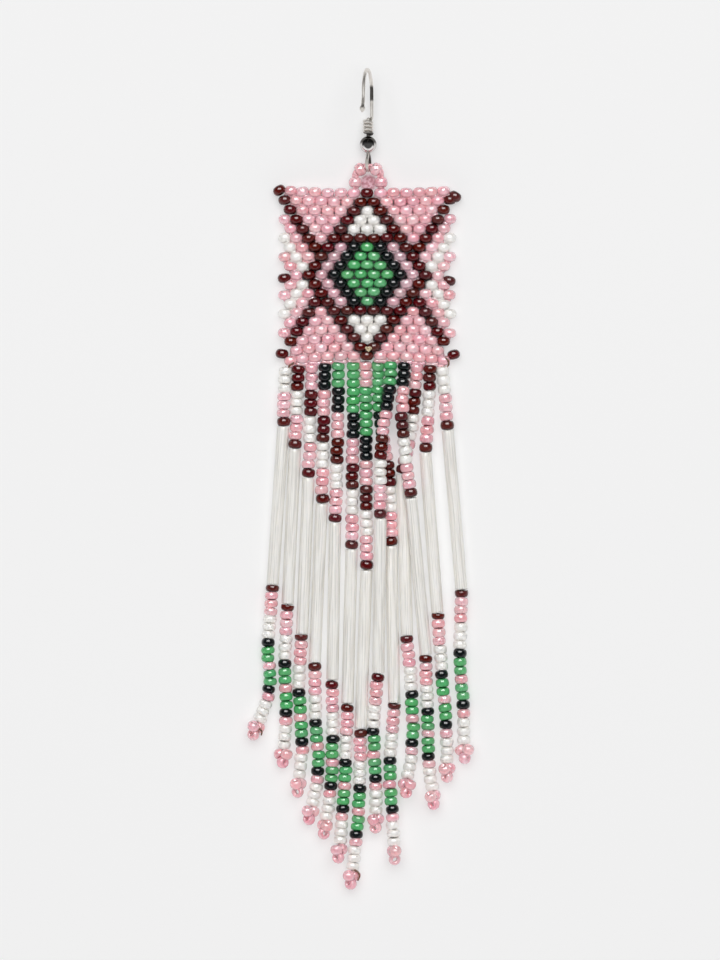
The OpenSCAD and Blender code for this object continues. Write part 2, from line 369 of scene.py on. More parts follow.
@dataclass
class Graph:
    """A node tree with short calls that add nodes and join them."""

    tree: bpy.types.NodeTree

    def put(self, node: bpy.types.Node, values: Inputs) -> None:
        """Sets named or numbered inputs of a node, or joins them where the value is a socket."""
        for key, value in values.items():
            if isinstance(value, Socket):
                self.tree.links.new(value, node.inputs[key])
            else:
                node.inputs[key].default_value = value

    def add(self, kind: str, inputs: Optional[Inputs] = None, **settings: Any) -> Outputs:
        """Adds a node.

        Args:
            kind: the node's type.
            inputs: a value or a socket for each named or numbered input.
            settings: the node's own settings.

        Returns:
            The new node's outputs.
        """
        node = self.tree.nodes.new(kind)
        for name, value in settings.items():
            setattr(node, name, value)
        self.put(node, inputs or {})
        return node.outputs

    def math(self, operation: str, a: Any, b: Any = 0.0, clamp: bool = False) -> Socket:
        """Adds a Math node of the given kind and returns its result."""
        return self.add("ShaderNodeMath", {0: a, 1: b}, operation=operation, use_clamp=clamp)[0]

    def times(self, *factors: Any) -> Socket:
        """Adds the product of all the factors and returns it."""
        product = factors[0]
        for factor in factors[1:]:
            product = self.math("MULTIPLY", product, factor)
        return product

    def ramp(self, value: Any, low: float, high: float, to: tuple[float, float] = (0.0, 1.0)) -> Socket:
        """Adds a soft step of value from low to high, put out as to[0] to to[1]."""
        inputs = {0: value, 1: low, 2: high, 3: to[0], 4: to[1]}
        return self.add("ShaderNodeMapRange", inputs, interpolation_type="SMOOTHSTEP")[0]

    def before(self, length: Socket, at: float, soft: float) -> Socket:
        """Adds a mask that softly goes from 1 to 0 as a length passes so many millimetres."""
        return self.ramp(length, (at - soft) * MM, (at + soft) * MM, (1.0, 0.0))

    def mix(self, share: Any, a: Any, b: Any) -> Socket:
        """Adds a colour mix from a to b and returns its result."""
        return self.add("ShaderNodeMix", {0: share, 6: a, 7: b}, data_type="RGBA")[2]

    def noise(self, place: Any, scale: Any, detail: float = 2.0) -> Socket:
        """Adds a noise pattern and returns its value."""
        return self.add("ShaderNodeTexNoise", {"Vector": place, "Scale": scale, "Detail": detail})["Fac"]

    def bump(self, strength: float, distance: float, height: Socket) -> Socket:
        """Adds a Bump node and returns its normal."""
        return self.add("ShaderNodeBump", {"Strength": strength, "Distance": distance, "Height": height})[0]

    def place(self, kind: str = "Object") -> Socket:
        """Adds texture coordinates and returns those of the given kind."""
        return self.add("ShaderNodeTexCoord")[kind]

    def parts(self, vector: Socket) -> Outputs:
        """Splits a vector and returns its X, Y and Z."""
        return self.add("ShaderNodeSeparateXYZ", {0: vector})

    def around(self) -> Outputs:
        """Returns the X, Y and Z of the mesh's own attribute: cosine, sine and place along."""
        return self.parts(self.add("ShaderNodeAttribute", attribute_name="around")["Vector"])

    def group(self, name: str, values: Inputs) -> Outputs:
        """Adds a shared group with the given inputs and returns its outputs."""
        return self.add("ShaderNodeGroup", values, node_tree=bpy.data.node_groups[name])

    def rubbed(self, body: Colour, tarnish: Colour, share: float, size: float, rough: float) -> Outputs:
        """Adds the marks of rubbing on a colour and returns their outputs."""
        values = {"Body": srgb(*body), "Tarnish": srgb(*tarnish), "Share": share, "Size": size}
        return self.group("rubbing", {**values, "Roughness": rough})


def new_group(
    name: str, colours: Sequence[str], numbers: Sequence[str], results: Sequence[str]
) -> tuple[Graph, Outputs, bpy.types.Node]:
    """Starts a shader node group, for several finishes, whose first output is a colour.

    Args:
        name: the group's name.
        colours: its inputs that are colours.
        numbers: its inputs that are numbers.
        results: its outputs that are numbers.

    Returns:
        Its graph, what it is given and its output node.
    """
    tree = bpy.data.node_groups.new(name, "ShaderNodeTree")
    sockets = [(label, "INPUT", "Color") for label in colours]
    sockets += [(label, "INPUT", "Float") for label in numbers]
    sockets += [("Color", "OUTPUT", "Color")]
    sockets += [(label, "OUTPUT", "Float") for label in results]
    for label, way, kind in sockets:
        tree.interface.new_socket(name=label, in_out=way, socket_type=f"NodeSocket{kind}")
    graph = Graph(tree)
    return graph, graph.add("NodeGroupInput"), tree.nodes.new("NodeGroupOutput")


def build_bead_glass() -> None:
    """Builds the glass of a seed bead: a band round its middle, where the hole shows through,
    ends painted another colour, darker as painted shade where neighbouring beads meet and lighter on
    the black beads as a painted sheen, and a tint of its own for each bead."""
    graph, given, out = new_group(
        "bead_glass",
        ("Body", "Core", "Rim"),
        ("Core Share", "Rim Share", "Spread", "Roughness"),
        ("Roughness", "Height"),
    )
    tint = graph.add("ShaderNodeAttribute", attribute_name="tint")["Fac"]
    along = graph.math("ABSOLUTE", graph.around()["Z"])
    core = graph.times(graph.ramp(along, 0.2, 0.75, (1.0, 0.0)), given["Core Share"])
    # the ends take painted shade, darker where neighbouring beads meet, and on the black beads a lighter
    # painted sheen
    end_shade = graph.times(graph.ramp(along, 0.6, 0.98), given["Rim Share"])
    colour = graph.mix(end_shade, graph.mix(core, given["Body"], given["Core"]), given["Rim"])
    place = graph.place()
    cloud = graph.noise(place, 900.0, 3.0)

    def swing(source: Any, reach: float, middle: float) -> Socket:
        """Returns middle + (source - 0.5) * spread * reach."""
        shift = graph.times(graph.math("SUBTRACT", source, 0.5), given["Spread"], reach)
        return graph.math("ADD", shift, middle)

    second, third = (graph.math("FRACT", graph.times(tint, k)) for k in (7.31, 23.7))
    tone = {
        "Hue": swing(second, 0.09, 0.5),
        "Saturation": swing(third, 1.4, 1.0),
        "Value": graph.times(swing(tint, 1.0, 1.0), swing(cloud, 0.6, 1.0)),
        "Color": colour,
    }
    uneven = graph.times(graph.math("SUBTRACT", graph.noise(place, 5200.0), 0.5), 0.12)
    rough = graph.math("ADD", given["Roughness"], uneven, True)
    toned = graph.add("ShaderNodeHueSaturation", tone)["Color"]
    graph.put(out, {"Color": toned, "Roughness": rough, "Height": cloud})


def build_drawn_lines() -> None:
    """Builds fine lines that run the length of a drawn tube."""
    graph, given, out = new_group(
        "drawn_lines", ("Body", "Line"), ("Share", "Count", "Run"), ("Line", "Height")
    )
    parts = graph.around()
    run = graph.times(parts["Z"], given["Run"])
    stretched = graph.add("ShaderNodeCombineXYZ", {0: parts["X"], 1: parts["Y"], 2: run})[0]
    lines = graph.noise(stretched, given["Count"], 3.0)
    mask = graph.ramp(lines, 0.42, 0.66)
    colour = graph.mix(graph.times(mask, given["Share"]), given["Body"], given["Line"])
    graph.put(out, {"Color": colour, "Line": mask, "Height": lines})


def build_rubbing() -> None:
    """Builds marks of handling: soft clouds of tarnish and hair-fine scratches."""
    graph, given, out = new_group(
        "rubbing", ("Body", "Tarnish"), ("Share", "Size", "Roughness"), ("Roughness", "Height")
    )
    place = graph.place()
    cloud = graph.ramp(graph.noise(place, given["Size"], 4.0), 0.45, 0.7)
    drawn_out = {"Vector": place, "Rotation": (0.3, 0.2, 0.9), "Scale": (1.0, 14.0, 6.0)}
    turned = graph.add("ShaderNodeMapping", drawn_out)[0]
    scratch = graph.ramp(graph.noise(turned, given["Size"]), 0.6, 0.68)
    colour = graph.mix(graph.times(cloud, given["Share"]), given["Body"], given["Tarnish"])
    marked = graph.times(graph.math("ADD", cloud, scratch), 0.1)
    rough = graph.math("ADD", given["Roughness"], marked, True)
    graph.put(out, {"Color": colour, "Roughness": rough, "Height": scratch})


@dataclass(frozen=True)
class Finish:
    """A finish, with its colours as shown on a screen, that can be made into a material."""

    name: str

    def inputs(self, graph: Graph) -> Inputs:
        """Builds the nodes that feed the shader.

        Args:
            graph: the material's graph.

        Returns:
            What each input of the shader gets, apart from those left alone.
        """
        raise NotImplementedError

    def make(self) -> bpy.types.Material:
        """Builds the material.

        Returns:
            The material.
        """
        material = bpy.data.materials.new(self.name)
        material.use_nodes = True
        graph = Graph(material.node_tree)
        graph.put(material.node_tree.nodes["Principled BSDF"], self.inputs(graph))
        return material


@dataclass(frozen=True)
class BeadGlass(Finish):
    """Finish of one colour of seed bead: opaque or pearly glass under a clear gloss."""

    body: Colour
    core: Colour
    end_shade: Colour
    core_share: float
    end_shade_share: float
    spread: float
    roughness: float
    glow: float = 0.0
    coat: float = 0.7
    gloss: float = 0.5

    def inputs(self, graph: Graph) -> Inputs:
        """Builds the nodes that feed the shader.

        Args:
            graph: the material's graph.

        Returns:
            What each input gets. Light goes deeper in a paler body.
        """
        given = {
            "Body": srgb(*self.body),
            "Core": srgb(*self.core),
            "Rim": srgb(*self.end_shade),
            "Core Share": self.core_share,
            "Rim Share": self.end_shade_share,
            "Spread": self.spread,
            "Roughness": self.roughness,
        }
        glass = graph.group("bead_glass", given)
        return {
            "Base Color": glass["Color"],
            "Roughness": glass["Roughness"],
            "Normal": graph.bump(0.2, 0.00015, glass["Height"]),
            "IOR": 1.52,
            "Specular IOR Level": self.gloss,
            "Subsurface Weight": self.glow,
            "Subsurface Radius": tuple((c / 255) ** 2.2 for c in self.body),
            "Subsurface Scale": 0.0007,
            "Coat Weight": self.coat,
            "Coat Roughness": 0.1,
            "Coat IOR": 1.6,
        }


@dataclass(frozen=True)
class TubeGlass(Finish):
    """Finish of the bugles: satin off-white glass with fine lengthwise lines."""

    body: Colour
    line: Colour

    def inputs(self, graph: Graph) -> Inputs:
        """Builds the nodes that feed the shader.

        Args:
            graph: the material's graph.

        Returns:
            What each input gets.
        """
        given = {"Body": srgb(*self.body), "Line": srgb(*self.line), "Share": 0.75, "Count": 5.0, "Run": 0.02}
        lines = graph.group("drawn_lines", given)
        return {
            "Base Color": lines["Color"],
            "Roughness": graph.ramp(lines["Line"], 0.0, 1.0, (0.3, 0.42)),
            "Normal": graph.bump(0.35, 0.00008, lines["Height"]),
            "IOR": 1.5,
            "Subsurface Weight": 0.35,
            "Subsurface Radius": (1.0, 0.95, 0.85),
            "Subsurface Scale": 0.0008,
        }


@dataclass(frozen=True)
class BrightMetal(Finish):
    """Finish of the ear wire or the ball: bright metal, a little rubbed, and painted near black in places,
    as painted dark reflection and painted shade.

    Each black stretch is (start, end, top, right): it runs from start to end along Y, below the
    height top and to the left of right.
    """

    body: Colour
    tarnish: Colour
    share: float
    roughness: float
    black: tuple[Point, ...]
    painted_dark_colour: Colour = (86, 83, 80)

    def inputs(self, graph: Graph) -> Inputs:
        """Builds the nodes that feed the shader.

        Args:
            graph: the material's graph.

        Returns:
            What each input gets.
        """
        marks = graph.rubbed(self.body, self.tarnish, self.share, 700.0, self.roughness)
        colour = marks["Color"]
        x, y, z = graph.parts(graph.place())
        # each black stretch mixes painted dark reflection and shade into the colour at a fixed place
        for start, end, top, right in self.black:
            begun = graph.math("SUBTRACT", 1.0, graph.before(y, start, 0.3))
            along = graph.times(begun, graph.before(y, end, 0.3))
            mask = graph.times(along, graph.before(z, top, 0.4), graph.before(x, right, 0.1))
            colour = graph.mix(mask, colour, srgb(*self.painted_dark_colour))
        return {
            "Base Color": colour,
            "Roughness": marks["Roughness"],
            "Normal": graph.bump(0.08, 0.00003, marks["Height"]),
            "Metallic": 1.0,
        }


@dataclass(frozen=True)
class WaxedThread(Finish):
    """Finish of the beading thread: a tight twist, dull with wax, with the grooves between its plies painted
    darker as painted shade.
    """

    body: Colour
    groove_shade_and_tarnish: Colour

    def inputs(self, graph: Graph) -> Inputs:
        """Builds the nodes that feed the shader, with plies (1 + sin(2 angle + 9 along)) / 2.

        Args:
            graph: the material's graph.

        Returns:
            What each input gets.
        """
        parts = graph.around()
        angle = graph.math("ARCTAN2", parts["Y"], parts["X"])
        turn = graph.math("ADD", graph.times(angle, 2.0), graph.times(parts["Z"], 9.0))
        ply = graph.math("ADD", graph.times(graph.math("SINE", turn), 0.5), 0.5)
        marks = graph.rubbed(self.body, self.groove_shade_and_tarnish, 0.6, 2400.0, 0.55)
        return {
            # the grooves between the plies take painted shade, in the same colour as the tarnish clouds
            "Base Color": graph.mix(graph.ramp(ply, 0.0, 0.6), srgb(*self.groove_shade_and_tarnish), marks["Color"]),
            "Roughness": marks["Roughness"],
            "Normal": graph.bump(0.8, 0.00006, ply),
            "Sheen Weight": 0.2,
        }


@dataclass(frozen=True)
class PaleTable(Finish):
    """Finish of the table: matt and pale with an even glow of its own. The glow is cut off under the
    panel and inside the neck's small loop as painted shade, and inside the loop the table is painted
    mauve-pink, the coloured shade that the beads around throw there."""

    pale: float = 0.55
    glow: float = 0.395
    loop_shade_colours: tuple[Point, Point] = ((0.64, 0.32, 0.37, 1.0), (0.95, 0.68, 0.76, 1.0))
    panel_half: float = 14.0
    panel_low: float = 22.9
    panel_high: float = 53.25
    loop_place: Point = (0.0016, 0.0557, 0.0)
    loop_r: float = 1.55

    def inputs(self, graph: Graph) -> Inputs:
        """Builds the nodes that feed the shader.

        Args:
            graph: the material's graph.

        Returns:
            What each input gets.
        """
        place = graph.place()
        x, y, _ = graph.parts(place)
        across = graph.math("ABSOLUTE", graph.math("SUBTRACT", x, PANEL_MIDDLE[0] * MM))
        begun = graph.math("SUBTRACT", 1.0, graph.before(y, self.panel_low, 0.7))
        beside = graph.before(across, self.panel_half, 1.0)
        # painted shade: the table's glow goes out under the panel
        under = graph.times(begun, beside, graph.before(y, self.panel_high, 0.75))
        middle = {0: place, 1: self.loop_place}
        away = graph.add("ShaderNodeVectorMath", middle, operation="DISTANCE")["Value"]
        # mask of the painted shade inside the neck's loop
        loop = graph.before(away, self.loop_r, 0.45)
        shades = [(p, p, p, 1.0) for p in (self.pale, self.pale + 0.002)]
        plain = graph.mix(graph.noise(place, 6.0, 3.0), *shades)
        # painted shade inside the neck's loop, in mauve-pink from the beads around
        loop_shade = graph.mix(graph.ramp(graph.noise(place, 1700.0), 0.38, 0.62), *self.loop_shade_colours)
        unlit = graph.math("MAXIMUM", under, loop)
        return {
            "Base Color": graph.mix(loop, plain, loop_shade),
            "Emission Color": graph.mix(unlit, (1, 1, 1, 1), (0, 0, 0, 1)),
            "Emission Strength": self.glow,
            "Roughness": 0.9,
            "Specular IOR Level": 0.0,
        }


class Finishes:
    """Every material of the earring."""

    def __init__(self) -> None:
        """Builds the effects that finishes share, and then the materials, with the beads' finishes
        in the order of SHADES."""
        build_bead_glass()
        build_drawn_lines()
        build_rubbing()
        # the third colour of each glass is the painted shade of its ends, and on the black beads a painted
        # sheen
        glass = (
            BeadGlass(
                "bead_pearl_pink", (252, 200, 206), (247, 174, 184), (246, 174, 184),
                core_share=0.5, end_shade_share=0.6, spread=0.2, roughness=0.24, glow=0.5,
            ),
            BeadGlass(
                "bead_dark_red", (77, 12, 12), (103, 22, 22), (52, 8, 9),
                core_share=0.55, end_shade_share=0.5, spread=0.18, roughness=0.22, coat=0.34, gloss=0.18,
            ),
            BeadGlass(
                "bead_chalk_white", (251, 247, 241), (252, 250, 246), (246, 240, 232),
                core_share=0.4, end_shade_share=0.4, spread=0.05, roughness=0.3, glow=0.4, coat=0.35,
            ),
            BeadGlass(
                "bead_night_black", (13, 21, 23), (9, 16, 18), (18, 28, 30),
                core_share=0.5, end_shade_share=0.5, spread=0.25, roughness=0.22, coat=0.3, gloss=0.2,
            ),
            BeadGlass(
                "bead_leaf_green", (90, 178, 112), (104, 194, 126), (46, 124, 68),
                core_share=0.5, end_shade_share=0.8, spread=0.12, roughness=0.25, glow=0.1, coat=0.5, gloss=0.3,
            ),
            BeadGlass(
                "bead_pearl_mauve", (228, 188, 196), (208, 162, 172), (190, 142, 154),
                core_share=0.6, end_shade_share=0.6, spread=0.25, roughness=0.22, glow=0.6,
            ),
        )
        self.thread = WaxedThread("thread_waxed_brown", (142, 92, 62), (78, 44, 28)).make()
        self.pale_thread = WaxedThread("thread_waxed_cream", (236, 222, 186), (190, 168, 128)).make()
        self.rose_thread = WaxedThread("thread_waxed_rose", (252, 196, 203), (240, 172, 182)).make()
        self.bead_slots = [finish.make() for finish in glass] + [self.thread]
        self.bugle = TubeGlass("bugle_satin_white", (252, 249, 243), (214, 211, 205)).make()
        # painted shade on the eye's lower half and the coil's last turn, painted dark reflection on a stretch
        # of the leg and a band at the free end
        marked = ((58.3, 61.6, 2, 9), (64, 65.1, 9, 9), (71, 73.7, 5, 9), (69.3, 69.7, 13, 1.1))
        # painted dark reflection on the ball's upper half
        upper = ((63, 65, 9, 9),)
        wire = BrightMetal("wire_bright", (230, 226, 220), (178, 172, 164), 0.4, 0.38, marked)
        ball = BrightMetal("ball_polished", (214, 212, 210), (120, 116, 112), 0.6, 0.1, upper)
        self.wire, self.ball = wire.make(), ball.make()


HALF_CHART = (
    "M PPPPP MM PPPPP M",
    "M PPPP M W M PPPP M",
    "P M PPP M WW M PPP M P",
    "P M PP M WWW M PP M P",
    "W P M P MMMMMM P M P W",
    "W P MM V B G B V MM P W",
    "P W P M V B GG B V M P W P",
    "P W M V B GGG B V M W P",
)


@dataclass
class Panel:
    """The square woven panel, with a bead for each letter of its chart.

    Each loose bead is (row, column, shift out, shift down, turn in degrees), by rows and columns
    counted from the panel's middle.
    """

    finishes: Finishes
    rng: Random
    row_pitch: float = 1.69
    row_overlap: float = 0.12
    column_pitch: float = 2.48
    last_row: int = 9
    panel_rise: float = 1.0
    strand_drop: float = 0.2
    widths: tuple[float, float] = (1.06, 1.11)
    jitter: float = 0.04
    gap_glow_width: float = 0.44
    middle_row: str = "M P M V B GGGG B V M P M"
    top_row: str = "M PPPPPP M PPPPPP M"
    bottom_row: str = "PPPPPP M PPPPPP"
    loose_beads: tuple[Point, ...] = (
        (-9, -7, -0.1, 0.1, 28),
        (-9, 7, 0, 1.2, -32),
        (0, -6.5, 0.1, 0.5, 6),
        (0, 6.5, 0, 0.9, -12),
        (8, -6.5, 0.5, 0.3, -8),
        (8, 6.5, 0.7, 0.4, 20),
    )

    def column_x(self, k: Floats) -> Floats:
        """Place across of column k, 2.48 k - 0.0024 k^3."""
        return self.column_pitch * k - 0.0024 * k**3

    def droop(self, r: Any, x: Any) -> Any:
        """How much a row r hangs lower away from its middle, (0.31 + 0.1 r)(x / 16.5)^2."""
        return (0.31 + 0.1 * r) * (x / 16.5) ** 2

    def height(self, x: Any) -> Any:
        """Height of a bead's middle at x, its radius + 1 - (x / 15.5)^2 and never below its radius."""
        return BEAD_R + self.panel_rise * np.maximum(0, 1 - (x / 15.5) ** 2)

    def strand_start(self, x: float) -> Floats:
        """Returns the place, from the panel's middle, where a strand leaves its last row."""
        row = self.last_row * self.row_pitch + (self.row_pitch + self.row_overlap) / 2
        return np.array([x, -row - self.droop(self.last_row, x) - self.strand_drop, self.height(x)])

    def build(self) -> None:
        """Builds and dresses all the beads, and under the pale ones rods of their glass that fill their gaps,
        painted light that stands for the glow that pale glass lets through.
        """
        rng = self.rng
        parts = []
        loose = {place[:2]: place for place in self.loose_beads}
        rows = (self.top_row, *HALF_CHART, self.middle_row, *HALF_CHART[::-1], self.bottom_row)
        for r, row in enumerate(rows, -self.last_row):
            colours = shades_of(row)
            k = np.arange(len(colours)) - (len(colours) - 1) / 2
            moved = np.array([loose.get((r, c), (r, c, 0, 0, 0)) for c in k], float)
            x = self.column_x(k) + np.sign(k) * moved[:, 2]
            turn = np.radians(moved[:, 4])
            y = -r * self.row_pitch - self.droop(r, x) - moved[:, 3]
            z = self.height(x)
            outer = np.sign(k) * (np.abs(k) == np.max(k))
            below = self.row_pitch / 2 + (0.15 if r == self.last_row else 0.0)
            # a rod of glass under each bead's lower gap: painted light, the glow of pale glass in the gaps
            gap_glow = stacked(x - 0.5 * outer, y - below, z + 0.05, 1.5 - 0.6 * abs(outer))
            parts.append((stacked(x, y, z), stacked(np.sin(turn), -np.cos(turn), 0), gap_glow, colours))
        middles, ways, gap_glows, colours = (np.concatenate(column) for column in zip(*parts))
        centres = middles + PANEL_MIDDLE
        number = len(centres)
        centres[:, :2] += rng.normal(0, self.jitter, (number, 2))
        centres[:, 2] += np.abs(rng.normal(0, self.jitter, number))
        widths = rng.uniform(*self.widths, number)
        centres[:, 2] = np.maximum(centres[:, 2], BEAD_R * widths)
        holes = tilted(ways, 3.5, rng)
        skin = Skin()
        BeadShape().add(skin, centres, holes, widths, rng.uniform(1.05, 1.1, number), colours, rng)
        # only the pale beads get rods, which paint their glow into the gaps
        pale = np.isin(colours, shades_of("PWV"))
        gap_glow = gap_glows[pale]
        glow_rods = BeadShape(sides=8)
        glow_rods.add(skin, gap_glow[:, :3] + PANEL_MIDDLE, RIGHT, self.gap_glow_width, gap_glow[:, 3], colours[pale], rng)
        skin.make("panel_beads", self.finishes.bead_slots, "seed_beads", "bead_panel")


@dataclass
class Strand:
    """One strand of the fringe: seed beads, a bugle, more seed beads and a picot."""

    finishes: Finishes
    rng: Random
    panel: Panel
    number: int
    top_beads: int
    first_kept: float
    roll: float
    start_x: float
    top: Sequence[Point]
    tail: Sequence[Point]
    gap: float = 0.06
    bugle_r: float = 1.15
    hole_r: float = 0.5
    thread_r: float = 0.14
    widths: tuple[float, float] = (1.08, 1.14)
    wobble: float = 0.06
    straight_run: float = 5.4
    straight_steps: Point = (3.9, 2.0, 0.0)
    picot_run: float = 3.75
    picot_splay: float = 24.0
    picot_back: Point = (2.85, 2.75, 1.25)
    picot_out: Point = (-1.04, 1.04, 0.0)
    top_chart: str = "M PPP WWW MMM PPP BBB GGGGGG PPP"
    tail_chart: str = "M PPP WWW B GG P GG B P WWW"

    def top_way(self) -> Way:
        """Returns the route of the upper beads, from under the panel to the bugle."""
        curve = smooth_curve(np.vstack([self.panel.strand_start(self.start_x), on_table(self.top)]))
        curve[:, 2] = np.maximum(curve[:, 2], BEAD_R)
        return Way(curve + PANEL_MIDDLE)

    def tail_way(self) -> Way:
        """Route of the lower beads, smooth at first and straight over its last few millimetres.

        Returns:
            The route.
        """
        points = on_table(self.tail)
        curve = smooth_curve(points)
        end = points[-1]
        kept = curve[np.linalg.norm(curve - end, axis=1) > self.straight_run]
        straight = end - unit(end - points[-2]) * np.array(self.straight_steps)[:, None]
        joined = np.vstack([kept, straight])
        joined[:, 2] = np.maximum(joined[:, 2], BEAD_R)
        return Way(joined + PANEL_MIDDLE)

    def string_beads(self, skin: Skin, way: Way, run: float, shades: Ints, kept: float = 1.0) -> None:
        """Strings beads evenly on a thread along the start of a route, touching each other.

        Args:
            skin: the mesh that gets them.
            way: the route.
            run: how much of it they fill.
            shades: their colours, from its start.
            kept: how much of the first bead is left, where its near end is cut flat.
        """
        rng, number = self.rng, len(shades)
        lengths = rng.uniform(0.94, 1.04, number)
        share = np.ones(number)
        share[0] = kept
        lengths *= run / np.sum(lengths * share)
        at = np.cumsum(lengths * share) - lengths / 2
        heading = way.heading(at)
        centres = way.at(at) + unit(np.cross(heading, UP)) * rng.normal(0, self.wobble, (number, 1))
        widths = rng.uniform(*self.widths, number)
        centres[:, 2] = np.maximum(centres[:, 2], BEAD_R * widths)
        shape = BeadShape(fullness=0.6)
        lengths *= 1.03 / (2 * shape.half_length)
        holes = tilted(heading, 4.0, rng)
        shape.add(skin, centres, holes, widths, lengths, shades, rng, 1 - 2 * share)
        add_tube(skin, way.at(np.linspace(0, run, 40)), self.thread_r, UP, 6, THREAD_SLOT)

    def add_picot(self, skin: Skin, way: Way) -> None:
        """Adds the tip's three beads: two side by side that lean together, and one across below.

        Args:
            skin: the mesh that gets them.
            way: the route that they end.
        """
        ahead = unit(way.points[-1] - way.points[-2])
        turn, splay = np.radians(self.roll), np.radians(self.picot_splay)
        side = np.cross(ahead, UP) * np.cos(turn) + UP * np.sin(turn)
        tip = way.points[-1] + UP * 1.05 * abs(np.sin(turn))
        back, out = (np.array(v)[:, None] for v in (self.picot_back, self.picot_out))
        inward, across = ahead * np.cos(splay), side * np.sin(splay)
        holes = tilted(unit(np.stack([inward + across, inward - across, side])), 5.0, self.rng)
        centres = tip - ahead * back + side * out
        shape = BeadShape(fullness=0.75)
        shape.add(skin, centres, holes, 1.0, [1.04, 1.04, 1.06], shades_of("PPP"), self.rng)

    def add_bugle(self, skin: Skin) -> None:
        """Adds the bugle: a round tube whose ends are cut a little out of square.

        Its wall is a closed outline carried round: out along the outer side, in over the cut end
        and back through the hole, which widens at its mouths.

        Args:
            skin: the mesh that gets it.
        """
        start, end = on_table([self.top[-1], self.tail[0]]) + PANEL_MIDDLE
        ahead = unit(end - start)
        start, end = start + ahead * self.gap, end - ahead * self.gap
        length = float(np.linalg.norm(end - start))
        mouth = np.array([[0.66, 0.0], [0.78, 0.0], [1.08, 0.02], [self.bugle_r, 0.14]])
        outer = stacked(self.bugle_r, np.linspace(0.8, length - 0.8, 14))
        far_mouth = mouth[::-1] * [1, -1] + [0, length]
        hole = stacked(self.hole_r, [length - 0.4, length / 2, 0.4])
        r, y = np.vstack([mouth, outer, far_mouth, hole]).T
        a = circle(24)
        slant = self.rng.uniform(0.0, 0.1, 2)
        lean = self.rng.uniform(0, 6, 2)

        def cut(depth: Floats, k: int) -> Floats:
            """Returns how far end k's slanting cut reaches in at each depth and angle."""
            return np.clip(1 - depth / 1.5, 0, 1)[:, None] * slant[k] * (1 + np.cos(a - lean[k]))

        along = y[:, None] + cut(y, 0) - cut(length - y, 1)
        side = unit(np.cross(ahead, UP))
        ring = spokes(a, side, np.cross(side, ahead))
        grid = start + r[:, None, None] * ring[None] + along[..., None] * ahead
        around = stacked(np.cos(a), np.sin(a), along + 50 * self.number)
        skin.add_grid(grid, around, True, tint=self.rng.uniform(0, 1))

    def build(self) -> None:
        """Builds and dresses the strand's three pieces."""
        n = f"{self.number:02d}"
        beads = self.finishes.bead_slots
        upper, tube, lower = Skin(), Skin(), Skin()
        way = self.top_way()
        self.string_beads(upper, way, way.length, shades_of(self.top_chart)[: self.top_beads][::-1])
        upper.make(f"fringe_top_{n}", beads, "seed_beads", f"strand_{n}_top")
        self.add_bugle(tube)
        tube.make(f"fringe_bugle_{n}", [self.finishes.bugle], "bugle_glass", f"bugle_{n}")
        way = self.tail_way()
        run = way.length - self.picot_run
        self.string_beads(lower, way, run, shades_of(self.tail_chart), self.first_kept)
        self.add_picot(lower, way)
        lower.make(f"fringe_tail_{n}", beads, "seed_beads", f"strand_{n}_tail")


